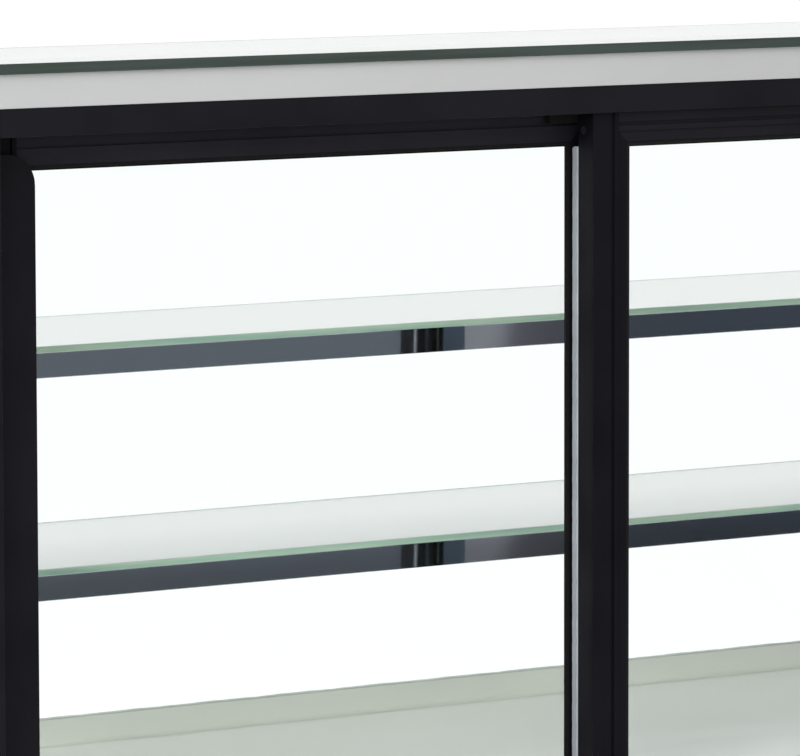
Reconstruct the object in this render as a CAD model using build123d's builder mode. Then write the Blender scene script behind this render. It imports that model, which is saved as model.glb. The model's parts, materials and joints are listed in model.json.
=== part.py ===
from build123d import *
import os
from math import cos, pi, radians, sin, tan

# Refrigerated display cabinet with a bent glass hood and two sliding glass doors.
# Millimetres, +Z up. The service side with the doors faces +Y and the customer side -Y.
# The origin lies on the floor under the middle of the cabinet.

# Whole cabinet
cabinet_width = 1500
cabinet_depth = 680
cabinet_height = 1250
touch_gap = 0.5

# Glass hood, flat on top, bent once and sloping down to the front
hood_glass = 10
hood_bend_radius = 180
hood_slope = 13
front_ledge = 74.5
hood_side_inset = 3
end_glass = 8
end_glass_inset = 5
silicone_gap = 1

# Strip under the rear edge of the hood
strip_height = 32
strip_setback = 3
strip_wall = 2

# Header and sill extrusions with two tracks each
track_setback = 4
track_lip = 4
track_divider = 3
track_clearance = 2
header_lip_height = 27
header_web = 3
door_in_header = 12
sill_floor = 4
sill_lip_height = 16
door_lift = 6

# Sliding doors, the left one in the inner track and the right one in the outer track
door_thickness = 26
door_gap = 10
door_overlap = 40
post_width = 54
post_wall = 3
buffer_gap = 10
frame_width = 46
face_width = 22
groove_width = 4
groove_depth = 2
bead_width = 11
bead_start = 31
bead_recess = 1.5
glazing_pocket_start = 36
glass_edge_start = 37
bead_lip = 5
stile_rebate_start = 27
stile_glass_start = 28
stile_spacer_width = 5.5
stile_gasket = 1.5
pane = 4
pane_gap = 6
spacer_width = 8
chamber_wall = 3
chamber_width = 21
gasket_recess = 3
gasket_cover = 4

# Handles, rollers, seal and screws of the doors
handle_plate = 3
handle_spacer = 5
handle_grip_depth = 18
handle_corner_radius = 30
handle_top_drop = 30
handle_foot_rise = 14
roller_radius = 12
roller_width = 6
roller_inset = 90
roller_clearance = 0.2
roller_chamfer = 0.6
axle_diameter = 4
axle_clearance = 0.2
roller_window = 28
roller_window_depth = 9
screw_diameter = 4
screw_length = 50
screw_head_diameter = 8
screw_head = 2.5
screw_slot = 0.8
screw_from_edge = 30
screw_behind_face = 17
seal_width = 12
seal_clearance = 2
seal_top_drop = 47
seal_foot_rise = 8
stop_block_width = 106
stop_block_height = 11
stop_block_clearance = 2

# Shelves and what carries them
upper_shelf_drop = 244.2
shelf_pitch = 218.4
shelf_glass = 6
shelf_rear_setback = 186
upper_shelf_gap = 10
lower_shelf_gap = 18.4
shelf_end_clearance = 20
bar_height = 25
bar_depth = 10
bar_wall = 1.5
bracket_thickness = 4
bracket_root_height = 40
bracket_tip_height = 14
bracket_tip_setback = 15
upright_width = 16
upright_depth = 16
upright_wall = 2
upright_from_post_edge = 10
upright_top_drop = 40

# Lamp under the hood
lamp_depth = 32
lamp_height = 26
lamp_wall = 1.5
lamp_end_clearance = 60
diffuser = 2

# Deck, insulated tub and the channels that hold the glass
rim_height = 452
deck_rise = 44
deck_sheet = 2
deck_glass_gap = 5
deck_upstand = 31
deck_end_clearance = 46
deck_rear_setback = 85
slot_length = 40
slot_width = 6
slot_pitch = 60
slot_row_pitch = 18
tub_depth = 76
tub_floor = 35
tub_side_wall = 50
tub_front_wall = 50
tub_rear_wall = 120
channel_front_wall = 10
channel_wall = 7
channel_height = 30
channel_floor = 8
side_channel_width = 18
side_channel_lip = 14

# Base, its panels and feet
foot_height = 60
foot_pad_diameter = 50
foot_pad = 10
foot_pad_chamfer = 2.5
foot_stem_diameter = 12
foot_stem_rise = 30
foot_nut = 8
foot_clearance = 0.4
foot_side_inset = 100
tube_height = 40
tube_width = 30
tube_wall = 2.5
rail_setback = 55
cross_setback = 45
plate_sheet = 2
panel_sheet = 2
panel_bevel = 18
kick_ground_gap = 12
louvre_length = 60
louvre_width = 6
louvre_pitch = 14
louvre_column_pitch = 75
louvre_rows = 14
louvre_columns = 4

# Refrigeration in the base and under the deck
compressor_from_end = 190
compressor_y = 60
compressor_radius = 75
compressor_height = 190
compressor_crown = 32
compressor_foot = 3
compressor_foot_length = 200
compressor_foot_width = 130
compressor_grommet = 10
condenser_x = -280
condenser_length = 300
condenser_depth = 60
condenser_top_gap = 44
condenser_rise = 14
condenser_panel_gap = 36
fin = 2
fin_pitch = 12
coil_tube = 10
coil_rows = 4
cowl = 4
cowl_gap = 4
fan_edge_margin = 15
fan_tip_clearance = 3
fan_depth = 26
fan_hub_radius = 25
fan_blades = 5
fan_blade = 2
fan_blade_chord = 40
fan_blade_pitch = 35
motor_radius = 35
motor_length = 60
motor_shaft = 8
shaft_clearance = 0.2
motor_gap = 3
strap_width = 16
evaporator_length = 860
evaporator_depth = 120
evaporator_height = 74
evaporator_floor_gap = 4
evaporator_fin_pitch = 20
blower_x = 0
blower_length = 600
blower_radius = 30
blower_disc = 2
blower_blades = 16
blower_blade = 1.5
blower_blade_chord = 7
blower_shaft = 8
blower_shaft_end = 14
blower_gap = 4
blower_sheet = 2
pipe_diameter = 8
pipe_bend = 21
pipe_reach = 26

# Things that the user reaches on the service side
tray_compressor_gap = 40
tray_length = 400
tray_depth = 260
tray_height = 32
tray_wall = 2
tray_lift = 1
tray_face_margin = 10
tray_face = 2
panel_clearance = 1
control_from_end = 140
control_from_rim = 141
control_length = 200
control_height = 54
control_depth = 44
bezel = 2
bezel_margin = 8
rocker_pitch = 34
rocker_width = 22
rocker_height = 30
rocker_depth = 8
rocker_clearance = 1
rocker_sink = 1
rocker_dip = 1.3
rocker_tilt = 6
rocker_pocket = 16
button_radius = 5
button_length = 7
button_proud = 1.5
button_chamfer = 0.5
button_clearance = 0.3
button_pitch = 18
lens_length = 58
lens_height = 26
lens_depth = 1
gland_from_end = 100
gland_z = 135
gland_radius = 10
gland_flange_radius = 15
gland_flange = 3
gland_length = 18
gland_bore = 9

half_width = cabinet_width / 2
rear = cabinet_depth / 2
front = -cabinet_depth / 2
hood_under = cabinet_height - hood_glass
bend_z = cabinet_height - hood_bend_radius
slope = radians(hood_slope)
hood_foot = rim_height + channel_floor
hood_front = front + front_ledge + channel_front_wall
hood_run = bend_z + hood_bend_radius * sin(slope) - hood_foot
bend_y = hood_front + hood_bend_radius * cos(slope) + hood_run * tan(slope)

header_top = hood_under - strip_height
header_bottom = header_top - header_lip_height
track_face = rear - track_setback
outer_face = track_face - track_lip - track_clearance
outer_back = outer_face - door_thickness
inner_face = outer_back - door_gap
inner_back = inner_face - door_thickness
track_inside = inner_back - track_clearance - track_lip
gap_middle = (outer_back + inner_face) / 2
track_end = half_width - post_width
door_edge = track_end - buffer_gap
door_width = door_edge + door_overlap / 2
door_bottom = rim_height + sill_floor + door_lift
door_top = header_bottom + door_in_header
door_height = door_top - door_bottom

upper_shelf_height = header_top - upper_shelf_drop
lower_shelf_height = upper_shelf_height - shelf_pitch
shelf_rear = rear - shelf_rear_setback
deck_height = rim_height + deck_rise
deck_rear = rear - deck_rear_setback
frame_top = foot_height + tube_height
plate_top = frame_top + plate_sheet
tub_bottom = rim_height - tub_depth
condenser_height = tub_bottom - condenser_top_gap - plate_top - condenser_rise
condenser_z = plate_top + condenser_rise + condenser_height / 2
fan_radius = condenser_height / 2 - fan_edge_margin
compressor_x = half_width - compressor_from_end
tray_x = compressor_x - (compressor_foot_length + tray_length) / 2 - tray_compressor_gap
control_x = half_width - control_from_end
control_z = rim_height - control_from_rim
gland_x = gland_from_end - half_width
inside_width = half_width - panel_sheet
channel_top = rim_height + channel_height
panel_face = rear - track_setback
panel_back = panel_face - panel_sheet


def block(x, y, z, mode=Mode.ADD):
    """Adds or cuts a box given by its two ends along each axis."""
    with Locations(((x[0] + x[1]) / 2, (y[0] + y[1]) / 2, (z[0] + z[1]) / 2)):
        Box(abs(x[1] - x[0]), abs(y[1] - y[0]), abs(z[1] - z[0]), mode=mode)


def rod(centre, radius, length, axis, mode=Mode.ADD):
    """Adds or cuts a cylinder centred on a point, lying along an axis."""
    turn = {"x": (0, 90, 0), "y": (90, 0, 0), "z": (0, 0, 0)}[axis]
    with Locations(Location(centre)):
        Cylinder(radius, length, rotation=turn, mode=mode)


def save(piece, name):
    """Labels a finished piece and writes its file."""
    piece.part.label = name
    export_step(piece.part, f"parts/{name}.step")


def save_group(pieces, name):
    """Writes pieces that lie face to face as separate solids of one file."""
    group = Compound(label=name, children=[piece.part for piece in pieces])
    export_step(group, f"parts/{name}.step")


def hood_point(inset, height):
    """Y of the hood's front slope at a height, that far in from its outer face."""
    end_y = bend_y - (hood_bend_radius - inset) * cos(slope)
    end_z = bend_z + (hood_bend_radius - inset) * sin(slope)
    return end_y - (end_z - height) * tan(slope)


def hood_curve(inset, start_y, foot):
    """Points of the hood's line: start, bend start, middle and end, and foot."""
    radius = hood_bend_radius - inset
    middle = (pi + pi / 2 - slope) / 2
    return (
        (start_y, cabinet_height - inset),
        (bend_y, cabinet_height - inset),
        (bend_y + radius * cos(middle), bend_z + radius * sin(middle)),
        (bend_y - radius * cos(slope), bend_z + radius * sin(slope)),
        (hood_point(inset, foot), foot),
    )


os.makedirs("parts", exist_ok=True)

# Glass hood
outside = hood_curve(0, rear, hood_foot)
inside = hood_curve(hood_glass, rear, hood_foot)
hood_half = half_width - hood_side_inset
with BuildPart() as hood:
    with BuildSketch(Plane.YZ.offset(-hood_half)):
        with BuildLine():
            Line(outside[0], outside[1])
            ThreePointArc(outside[1], outside[2], outside[3])
            Line(outside[3], outside[4])
            Line(outside[4], inside[4])
            Line(inside[4], inside[3])
            ThreePointArc(inside[3], inside[2], inside[1])
            Line(inside[1], inside[0])
            Line(inside[0], outside[0])
        make_face()
    extrude(amount=2 * hood_half)
save(hood, "curved_glass_hood")

# Glass ends, under the hood and in front of the rear posts
end_foot = channel_top + silicone_gap
edge = hood_curve(hood_glass + silicone_gap, track_inside - silicone_gap, end_foot)
end_face = half_width - end_glass_inset
with BuildPart() as glass_ends:
    with BuildSketch(Plane.YZ.offset(end_face)):
        with BuildLine():
            Line(edge[0], edge[1])
            ThreePointArc(edge[1], edge[2], edge[3])
            Line(edge[3], edge[4])
            Line(edge[4], (edge[0][0], end_foot))
            Line((edge[0][0], end_foot), edge[0])
        make_face()
    extrude(amount=-end_glass)
    mirror(about=Plane.YZ)
save(glass_ends, "end_glasses")

# Satin strip that carries the rear edge of the hood
strip_face = rear - strip_setback
with BuildPart() as strip:
    block((-hood_half, hood_half), (track_inside, strip_face), (header_top, hood_under))
    block(
        (-hood_half, hood_half),
        (track_inside + strip_wall, strip_face - strip_wall),
        (header_top + strip_wall, hood_under - strip_wall),
        Mode.SUBTRACT,
    )
save(strip, "rear_top_strip")

# Header extrusion: a web and three lips that guide the doors' top edges
lips = (
    (track_inside, track_inside + track_lip),
    (gap_middle - track_divider / 2, gap_middle + track_divider / 2),
    (track_face - track_lip, track_face),
)
with BuildPart() as header:
    block((-track_end, track_end), (track_inside, track_face), (header_top - header_web, header_top))
    for lip in lips:
        block((-track_end, track_end), lip, (header_bottom, header_top))
save(header, "header_track")

# Sill extrusion: a floor for the rollers and three lips
sill_top = rim_height + sill_floor
with BuildPart() as sill:
    block((-track_end, track_end), (track_inside, track_face), (rim_height, sill_top))
    for lip in lips:
        block((-track_end, track_end), lip, (rim_height, rim_height + sill_lip_height))
save(sill, "sill_track")

# Hollow posts beside the doors
with BuildPart() as posts:
    block((track_end, half_width), (track_inside, track_face), (rim_height, header_top))
    block(
        (track_end + post_wall, half_width - post_wall),
        (track_inside + post_wall, track_face - post_wall),
        (rim_height, header_top),
        Mode.SUBTRACT,
    )
    mirror(about=Plane.YZ)
save(posts, "rear_posts")

# Rubber buffers on the posts and the stop block between the tracks
stop_half = stop_block_width / 2
stop_room = door_gap / 2 - stop_block_clearance
with BuildPart() as stops:
    block(
        (door_edge + touch_gap, track_end),
        (inner_back, inner_face),
        (rim_height + sill_lip_height, header_bottom),
    )
    block(
        (-track_end, -door_edge - touch_gap),
        (outer_back, outer_face),
        (rim_height + sill_lip_height, header_bottom),
    )
    block(
        (-stop_half, stop_half),
        (gap_middle - stop_room, gap_middle + stop_room),
        (header_bottom - stop_block_height, header_bottom),
    )
save(stops, "door_stops")


def member_plane(corner, along):
    """Plane of a stile or rail: x along it, y in from its outer edge, z to its face."""
    return Plane(origin=corner, x_dir=along, z_dir=(0, 1, 0))


def frame_member(plane, length, body_inset, rebated=False):
    """One stile or rail with its chamber, face groove, mitred bead and glazing pocket.

    A rebated one is open to the back between the two rails that it meets.
    """
    bead_end = bead_start + bead_width
    with BuildPart() as member:
        with BuildSketch(plane):
            with Locations((length / 2, bead_start / 2)):
                Rectangle(length - 2 * body_inset, bead_start)
        extrude(amount=door_thickness)
        with BuildSketch(plane.offset(chamber_wall)):
            with Locations((length / 2, chamber_wall + chamber_width / 2)):
                Rectangle(length, chamber_width)
        extrude(amount=door_thickness - 2 * chamber_wall, mode=Mode.SUBTRACT)
        with BuildSketch(plane.offset(door_thickness)):
            with Locations((length / 2, face_width + groove_width / 2)):
                Rectangle(length, groove_width)
        extrude(amount=-groove_depth, mode=Mode.SUBTRACT)
        with BuildSketch(plane):
            with BuildLine():
                Polyline(
                    (bead_start, bead_start),
                    (length - bead_start, bead_start),
                    (length - bead_end, bead_end),
                    (bead_end, bead_end),
                    close=True,
                )
            make_face()
        extrude(amount=door_thickness - bead_recess)
        with BuildSketch(plane.offset(bead_lip)):
            with Locations((length / 2, (glazing_pocket_start + bead_end) / 2)):
                Rectangle(length, bead_end - glazing_pocket_start)
        extrude(amount=door_thickness - 2 * bead_lip, mode=Mode.SUBTRACT)
        if rebated:
            with BuildSketch(plane):
                with Locations((length / 2, (stile_rebate_start + bead_end) / 2)):
                    Rectangle(length - 2 * glazing_pocket_start, bead_end - stile_rebate_start)
            extrude(amount=door_thickness - bead_lip, mode=Mode.SUBTRACT)
    return member.part


def frame_ring(x, y, z, outer, inner):
    """Adds a flat frame inside a door's outline, between two pairs of insets along x and z."""
    block((x[0] + outer[0], x[1] - outer[0]), y, (z[0] + outer[1], z[1] - outer[1]))
    block(
        (x[0] + inner[0], x[1] - inner[0]),
        y,
        (z[0] + inner[1], z[1] - inner[1]),
        Mode.SUBTRACT,
    )


def door(side, x, y, outer_edge):
    """Makes every piece of one sliding door between its ends x and y."""
    z = (door_bottom, door_top)
    back, face = y
    inner_sign = -1 if outer_edge > 0 else 1
    screw_y = face - screw_behind_face
    screw_heights = (door_bottom + screw_from_edge, door_top - screw_from_edge)
    axle_z = sill_top + roller_clearance + roller_radius
    roller_y = (back + face) / 2
    roller_places = {
        "left": x[1] - roller_inset,
        "right": x[0] + roller_inset,
    }
    screw_ends = ((x[0], 1), (x[1], -1))

    with BuildPart() as stiles:
        add(frame_member(member_plane((x[1], back, z[1]), (0, 0, -1)), door_height, 0, True))
        add(frame_member(member_plane((x[0], back, z[0]), (0, 0, 1)), door_height, 0, True))
        for end, inward in screw_ends:
            for height in screw_heights:
                shaft = (end + inward * screw_length / 2, screw_y, height)
                rod(shaft, (screw_diameter + axle_clearance) / 2, screw_length, "x", Mode.SUBTRACT)
                head = (end + inward * screw_head / 2, screw_y, height)
                rod(head, (screw_head_diameter + axle_clearance) / 2, screw_head, "x", Mode.SUBTRACT)
    save(stiles, f"{side}_door_stiles")

    with BuildPart() as rails:
        add(frame_member(member_plane((x[0], back, z[1]), (1, 0, 0)), door_width, bead_start))
        add(frame_member(member_plane((x[1], back, z[0]), (-1, 0, 0)), door_width, bead_start))
        for end, inward in screw_ends:
            for height in screw_heights:
                shaft = (end + inward * (screw_length + touch_gap) / 2, screw_y, height)
                rod(
                    shaft,
                    (screw_diameter + axle_clearance) / 2,
                    screw_length + touch_gap,
                    "x",
                    Mode.SUBTRACT,
                )
        for place in roller_places.values():
            block(
                (place - roller_window / 2, place + roller_window / 2),
                (roller_y - roller_window_depth / 2, roller_y + roller_window_depth / 2),
                (door_bottom, door_bottom + 2 * chamber_wall),
                Mode.SUBTRACT,
            )
            rod(
                (place, roller_y, axle_z),
                (axle_diameter + axle_clearance) / 2,
                door_thickness,
                "y",
                Mode.SUBTRACT,
            )
    save(rails, f"{side}_door_rails")

    glass_z = (z[0] + glass_edge_start, z[1] - glass_edge_start)
    glass_x = (x[0] + stile_glass_start, x[1] - stile_glass_start)
    unit = 2 * pane + pane_gap
    unit_back = (back + face - unit) / 2
    unit_face = unit_back + unit
    with BuildPart() as panes:
        block(glass_x, (unit_back, unit_back + pane), glass_z)
        block(glass_x, (unit_face - pane, unit_face), glass_z)
    save(panes, f"{side}_door_panes")

    spacer_start = (glass_edge_start + bead_start + bead_width) / 2
    spacer_side = stile_glass_start + stile_gasket
    with BuildPart() as spacer:
        frame_ring(
            x,
            (unit_back + pane, unit_face - pane),
            z,
            (spacer_side, spacer_start),
            (spacer_side + stile_spacer_width, spacer_start + spacer_width),
        )
    save(spacer, f"{side}_door_spacer")

    lip_end = bead_start + bead_width
    gasket_edge = lip_end + gasket_cover
    cover = (gasket_edge, gasket_edge)
    back_cover = (stile_glass_start + stile_gasket, gasket_edge)
    with BuildPart() as gaskets:
        frame_ring(
            x,
            (unit_face, face - bead_lip),
            z,
            (glass_edge_start, glass_edge_start),
            cover,
        )
        frame_ring(x, (face - bead_lip, face - gasket_recess), z, (lip_end, lip_end), cover)
        frame_ring(
            x,
            (back + bead_lip, unit_back),
            z,
            (stile_glass_start, glass_edge_start),
            back_cover,
        )
        frame_ring(
            x,
            (back + gasket_recess, back + bead_lip),
            z,
            (stile_glass_start, lip_end),
            back_cover,
        )
    save(gaskets, f"{side}_door_gaskets")

    grip_edge = outer_edge + inner_sign * frame_width
    plate_x = tuple(sorted((outer_edge, grip_edge)))
    plate_z = (door_bottom + handle_foot_rise, door_top - handle_top_drop)
    with BuildPart() as plate:
        with BuildSketch(Plane.XZ.offset(-face - handle_spacer)) as outline:
            with Locations((sum(plate_x) / 2, sum(plate_z) / 2)):
                Rectangle(frame_width, plate_z[1] - plate_z[0])
            grip_side = 0 if inner_sign < 0 else -1
            corners = outline.vertices().group_by(Axis.X)[grip_side]
            fillet(corners, min(handle_corner_radius, frame_width - handle_plate))
        extrude(amount=-handle_plate)
    with BuildPart() as riser:
        block(
            (outer_edge, grip_edge - inner_sign * handle_grip_depth),
            (face, face + handle_spacer),
            (plate_z[0] + handle_corner_radius, plate_z[1] - handle_corner_radius),
        )
    save_group((plate, riser), f"{side}_door_handle")

    for name, place in roller_places.items():
        with BuildPart() as roller:
            rod((place, roller_y, axle_z), roller_radius, roller_width, "y")
            chamfer(roller.edges().filter_by(GeomType.CIRCLE), roller_chamfer)
            rod(
                (place, roller_y, axle_z),
                (axle_diameter + axle_clearance) / 2,
                roller_width,
                "y",
                Mode.SUBTRACT,
            )
        save(roller, f"{side}_door_{name}_roller")

    with BuildPart() as fixings:
        for end, inward in screw_ends:
            for height in screw_heights:
                shaft = (end + inward * screw_length / 2, screw_y, height)
                rod(shaft, screw_diameter / 2, screw_length, "x")
                head = (end + inward * screw_head / 2, screw_y, height)
                rod(head, screw_head_diameter / 2, screw_head, "x")
                slot = (end + inward * screw_head / 2, screw_y, height)
                with Locations(slot):
                    Box(screw_head, screw_slot, screw_diameter, mode=Mode.SUBTRACT)
        for place in roller_places.values():
            rod((place, roller_y, axle_z), axle_diameter / 2, door_thickness - touch_gap, "y")
    save(fixings, f"{side}_door_fixings")


inner_x = (-door_overlap / 2, door_edge)
outer_x = (-door_edge, door_overlap / 2)
door("left", inner_x, (inner_back, inner_face), door_edge)
door("right", outer_x, (outer_back, outer_face), -door_edge)

# Pile seal on the back of the outer door's meeting stile
with BuildPart() as seal:
    block(
        (outer_x[1] - seal_width, outer_x[1]),
        (inner_face + seal_clearance, outer_back),
        (rim_height + sill_lip_height + seal_foot_rise, door_top - seal_top_drop),
    )
save(seal, "right_door_pile_seal")

# Uprights in front of the rear posts
upright_x = (track_end + upright_from_post_edge, track_end + upright_from_post_edge + upright_width)
upright_y = (track_inside - upright_depth, track_inside)
with BuildPart() as uprights:
    block(upright_x, upright_y, (rim_height, header_top - upright_top_drop))
    block(
        (upright_x[0] + upright_wall, upright_x[1] - upright_wall),
        (upright_y[0] + upright_wall, upright_y[1] - upright_wall),
        (rim_height, header_top - upright_top_drop),
        Mode.SUBTRACT,
    )
    mirror(about=Plane.YZ)
save(uprights, "shelf_uprights")

# Shelves: a bracket at each end, a polished bar along the rear edge and a glass
shelves = (
    (upper_shelf_height, hood_point(hood_glass, upper_shelf_height) + upper_shelf_gap),
    (lower_shelf_height, hood_point(hood_glass, lower_shelf_height) + lower_shelf_gap),
)
bracket_x = (upright_x[0] - bracket_thickness, upright_x[0])
bar_half = bracket_x[0]
with BuildPart() as brackets:
    for height, shelf_front in shelves:
        top = height - shelf_glass
        tip = shelf_front + bracket_tip_setback
        root = track_inside - touch_gap
        with BuildSketch(Plane.YZ.offset(bracket_x[0])):
            with BuildLine():
                Polyline(
                    (root, top),
                    (tip, top),
                    (tip, top - bracket_tip_height),
                    (root - upright_depth, top - bracket_root_height),
                    (root, top - bracket_root_height),
                    close=True,
                )
            make_face()
        extrude(amount=bracket_thickness)
    mirror(about=Plane.YZ)
save(brackets, "shelf_brackets")

with BuildPart() as bars:
    for height, _ in shelves:
        top = height - shelf_glass
        block((-bar_half, bar_half), (shelf_rear - bar_depth, shelf_rear), (top - bar_height, top))
        block(
            (-bar_half, bar_half),
            (shelf_rear - bar_depth + bar_wall, shelf_rear - bar_wall),
            (top - bar_height + bar_wall, top - bar_wall),
            Mode.SUBTRACT,
        )
save(bars, "shelf_bars")

shelf_half = end_face - end_glass - shelf_end_clearance
with BuildPart() as shelf_glasses:
    for height, shelf_front in shelves:
        block((-shelf_half, shelf_half), (shelf_front, shelf_rear), (height - shelf_glass, height))
save(shelf_glasses, "shelf_glasses")

# Lamp on the inside of the top strip
lamp_half = half_width - lamp_end_clearance
lamp_y = (track_inside - lamp_depth, track_inside)
lamp_z = (hood_under - silicone_gap - lamp_height, hood_under - silicone_gap)
with BuildPart() as lamp:
    block((-lamp_half, lamp_half), lamp_y, lamp_z)
    block(
        (-lamp_half, lamp_half),
        (lamp_y[0] + lamp_wall, lamp_y[1] - lamp_wall),
        (lamp_z[0], lamp_z[1] - lamp_wall),
        Mode.SUBTRACT,
    )
    block(
        (-lamp_half, lamp_half),
        (lamp_y[0] + lamp_wall, lamp_y[1] - lamp_wall),
        (lamp_z[0], lamp_z[0] + diffuser),
    )
save(lamp, "hood_lamp")

# Channel that holds the foot of the hood
deck_front = hood_point(hood_glass, deck_height) + deck_glass_gap
channel_y = (hood_point(0, hood_foot) - channel_front_wall, deck_front - silicone_gap)
slot_floor = hood_foot - touch_gap
with BuildPart() as front_channel:
    block((-half_width, half_width), channel_y, (rim_height, channel_top))
    with BuildSketch(Plane.YZ.offset(-half_width)):
        with BuildLine():
            Polyline(
                (hood_point(-touch_gap, slot_floor), slot_floor),
                (hood_point(hood_glass + touch_gap, slot_floor), slot_floor),
                (hood_point(hood_glass + touch_gap, channel_top), channel_top),
                (hood_point(-touch_gap, channel_top), channel_top),
                close=True,
            )
        make_face()
    extrude(amount=2 * half_width, mode=Mode.SUBTRACT)
save(front_channel, "front_glass_channel")

# Channels along the foot of the glass ends
side_x = (half_width - side_channel_width, half_width)
side_y = (channel_y[1] + touch_gap, track_inside - touch_gap)
side_top = end_foot + side_channel_lip
with BuildPart() as side_channels:
    block(side_x, side_y, (rim_height, side_top))
    block(
        (end_face - end_glass - touch_gap, end_face + touch_gap),
        side_y,
        (end_foot, side_top),
        Mode.SUBTRACT,
    )
    mirror(about=Plane.YZ)
save(side_channels, "side_glass_channels")

# Deck: a folded sheet, open below, with air slots in its rear skirt and a front upstand
deck_half = half_width - deck_end_clearance
slots = int((2 * deck_half - slot_pitch) / slot_pitch)
with BuildPart() as deck:
    block((-deck_half, deck_half), (deck_front, deck_rear), (rim_height, deck_height))
    block(
        (-deck_half + deck_sheet, deck_half - deck_sheet),
        (deck_front + deck_sheet, deck_rear - deck_sheet),
        (rim_height, deck_height - deck_sheet),
        Mode.SUBTRACT,
    )
    with BuildSketch(Plane.XZ.offset(-deck_rear)):
        with Locations((0, rim_height + deck_rise / 2)):
            with GridLocations(slot_pitch, slot_row_pitch, slots, 2):
                SlotOverall(slot_length, slot_width)
    extrude(amount=deck_sheet, mode=Mode.SUBTRACT)
upstand_top = deck_height + deck_upstand
upstand_y = hood_point(hood_glass, upstand_top) + deck_glass_gap
with BuildPart() as upstand:
    with BuildSketch(Plane.YZ.offset(-deck_half)):
        with BuildLine():
            Polyline(
                (deck_front, deck_height),
                (deck_front + deck_sheet, deck_height),
                (upstand_y + deck_sheet, upstand_top),
                (upstand_y, upstand_top),
                close=True,
            )
        make_face()
    extrude(amount=2 * deck_half)
save_group((deck, upstand), "deck_plate")

# Insulated tub under the deck, with holes for the pipes
tub_y = (channel_y[0], panel_back)
cavity_x = inside_width - tub_side_wall
cavity_y = (tub_y[0] + tub_front_wall, tub_y[1] - tub_rear_wall)
cavity_floor = tub_bottom + tub_floor
evaporator_y = (cavity_y[0] + cavity_y[1] - evaporator_depth) / 2
evaporator_z = cavity_floor + evaporator_floor_gap
pipe_hole = pipe_diameter / 2 + touch_gap
feed_x = -evaporator_length / 2 - pipe_reach
return_x = evaporator_length / 2 + pipe_reach
with BuildPart() as tub:
    block((-inside_width, inside_width), tub_y, (tub_bottom, rim_height))
    block((-cavity_x, cavity_x), cavity_y, (cavity_floor, rim_height), Mode.SUBTRACT)
    for place in (feed_x, return_x):
        centre = (place, evaporator_y, tub_bottom + tub_floor / 2)
        rod(centre, pipe_hole, tub_floor, "z", Mode.SUBTRACT)
save(tub, "insulated_tub")

# Welded base frame: two long rails, three cross rails and four uprights
rail_y = rear - rail_setback - tube_width / 2
cross_x = half_width - cross_setback
foot_x = half_width - foot_side_inset


def tube(x, y, z, axis):
    """Adds a square tube between its ends, hollow along the given axis."""
    spans = {"x": x, "y": y, "z": z}
    block(x, y, z)
    inner = {
        name: span if name == axis else (span[0] + tube_wall, span[1] - tube_wall)
        for name, span in spans.items()
    }
    block(inner["x"], inner["y"], inner["z"], Mode.SUBTRACT)


with BuildPart() as base_frame:
    for side in (-1, 1):
        rail = (side * rail_y - tube_width / 2, side * rail_y + tube_width / 2)
        tube((-cross_x, cross_x), rail, (foot_height, frame_top), "x")
        for end in (-1, 1):
            corner = end * (cross_x - tube_width / 2)
            upright = (corner - tube_width / 2, corner + tube_width / 2)
            tube(upright, rail, (plate_top, tub_bottom), "z")
            place = (end * foot_x, side * rail_y, foot_height + tube_wall / 2)
            rod(place, (foot_stem_diameter + foot_clearance) / 2, tube_wall, "z", Mode.SUBTRACT)
    for centre in (tube_width / 2 - cross_x, 0, cross_x - tube_width / 2):
        cross = (centre - tube_width / 2, centre + tube_width / 2)
        tube(cross, (tube_width / 2 - rail_y, rail_y - tube_width / 2), (foot_height, frame_top), "y")
save(base_frame, "base_frame")

# Levelling feet: a pad with a threaded stem and a lock nut
feet = {
    "front_left": (foot_x, -rail_y),
    "front_right": (-foot_x, -rail_y),
    "rear_left": (foot_x, rail_y),
    "rear_right": (-foot_x, rail_y),
}
for name, (x, y) in feet.items():
    with BuildPart() as foot:
        with BuildSketch():
            with Locations((x, y)):
                Circle(foot_pad_diameter / 2)
        extrude(amount=foot_pad)
        chamfer(foot.faces().sort_by(Axis.Z)[-1].edges(), foot_pad_chamfer)
        stem_length = foot_height + foot_stem_rise - foot_pad
        rod((x, y, foot_pad + stem_length / 2), foot_stem_diameter / 2, stem_length, "z")
        with BuildSketch(Plane.XY.offset(foot_pad)):
            with Locations((x, y)):
                RegularPolygon(foot_stem_diameter, 6)
        extrude(amount=foot_nut)
    save(foot, f"{name}_foot")

# Bottom plate and the panels around the base
with BuildPart() as bottom_plate:
    block(
        (-inside_width, inside_width),
        (front + panel_sheet, panel_face),
        (frame_top, plate_top),
    )
save(bottom_plate, "bottom_plate")

ledge = (tub_y[0] - touch_gap, rim_height)
fold = panel_sheet * tan(pi / 8)
with BuildPart() as front_panel:
    with BuildSketch(Plane.YZ.offset(-inside_width)):
        with BuildLine():
            Polyline(
                ledge,
                (front + panel_bevel, rim_height),
                (front, rim_height - panel_bevel),
                (front, frame_top),
                (front + panel_sheet, frame_top),
                (front + panel_sheet, rim_height - panel_bevel - fold),
                (front + panel_bevel + fold, rim_height - panel_sheet),
                (ledge[0], rim_height - panel_sheet),
                close=True,
            )
        make_face()
    extrude(amount=2 * inside_width)
save(front_panel, "front_panel")

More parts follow.
